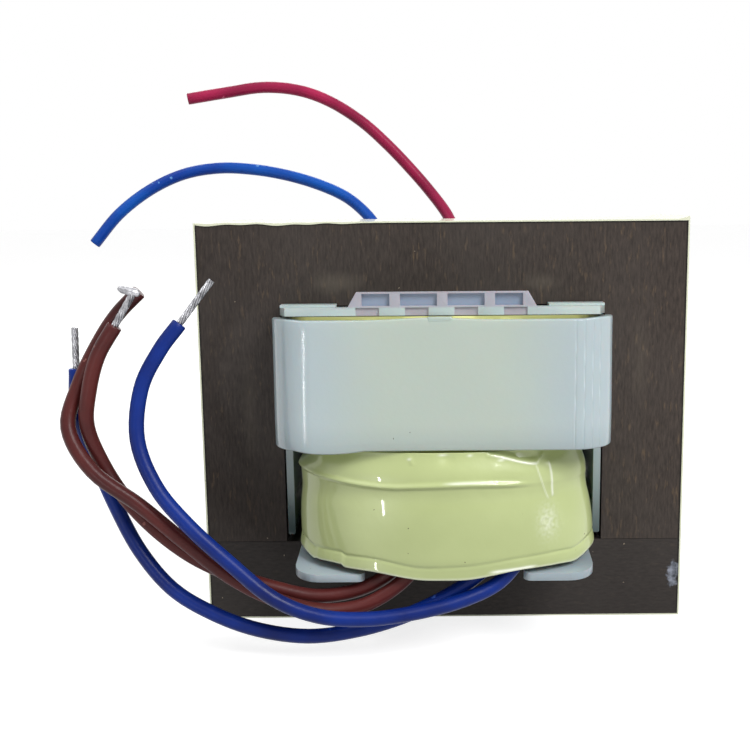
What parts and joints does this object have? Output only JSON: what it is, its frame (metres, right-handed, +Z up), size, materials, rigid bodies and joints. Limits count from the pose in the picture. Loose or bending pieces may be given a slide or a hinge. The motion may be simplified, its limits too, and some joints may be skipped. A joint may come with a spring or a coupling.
{
  "type": "laminated chassis transformer",
  "caption": "Laminated EI-core mains transformer with a split bobbin, a clip-on primary cover, a taped secondary and flying leads.",
  "frame": {"origin": "middle of the footprint: the centre of the core's taped base, on the surface that it stands on", "axes": "+Z up along the core's legs, +X along the core's width, +Y through the stack from the secondary leads' side to the primary leads' side"},
  "size_m": [0.0929, 0.0696, 0.0784],
  "materials": {
    "e_steel": "dark brown oxide-annealed silicon steel, brushed along the legs",
    "i_steel": "darker oxide-annealed silicon steel",
    "core_tape": "cream polyester tape",
    "bobbin_nylon": "bluish translucent moulded nylon",
    "cover_plastic": "milky white semi-gloss polypropylene",
    "enamelled_copper": null,
    "coil_tape": "glossy pale yellow-green polyester tape",
    "tinned_copper": "tinned copper strands and solder",
    "red_pvc": "satin crimson PVC",
    "blue_pvc": "satin deep blue PVC",
    "brown_pvc": "satin red-brown PVC"
  },
  "bodies": {
    "root": {"front_e_lamination": "e_steel", "rear_e_lamination": "e_steel", "front_i_lamination": "i_steel", "rear_i_lamination": "i_steel", "inner_e_laminations": "e_steel", "inner_i_laminations": "i_steel", "flipped_e_laminations": "e_steel", "flipped_i_laminations": "i_steel", "core_tape": "core_tape", "bobbin": "bobbin_nylon", "front_cover": "cover_plastic", "rear_cover": "cover_plastic", "primary_winding": "enamelled_copper", "primary_wrap": "coil_tape", "primary_outer_tape": "coil_tape", "inner_secondary": "enamelled_copper", "interlayer_wrap": "coil_tape", "outer_secondary": "enamelled_copper", "secondary_wrap": "coil_tape", "secondary_outer_tape": "coil_tape", "primary_joints": "tinned_copper", "secondary_joints": "tinned_copper", "red_primary_lead": "red_pvc", "blue_primary_lead": "blue_pvc", "blue_lead_a": "blue_pvc", "blue_lead_b": "blue_pvc", "brown_lead_a": "brown_pvc", "brown_lead_b": "brown_pvc", "strands_a": "tinned_copper", "strands_b": "tinned_copper", "strands_c": "tinned_copper"}
  },
  "joints": []
}
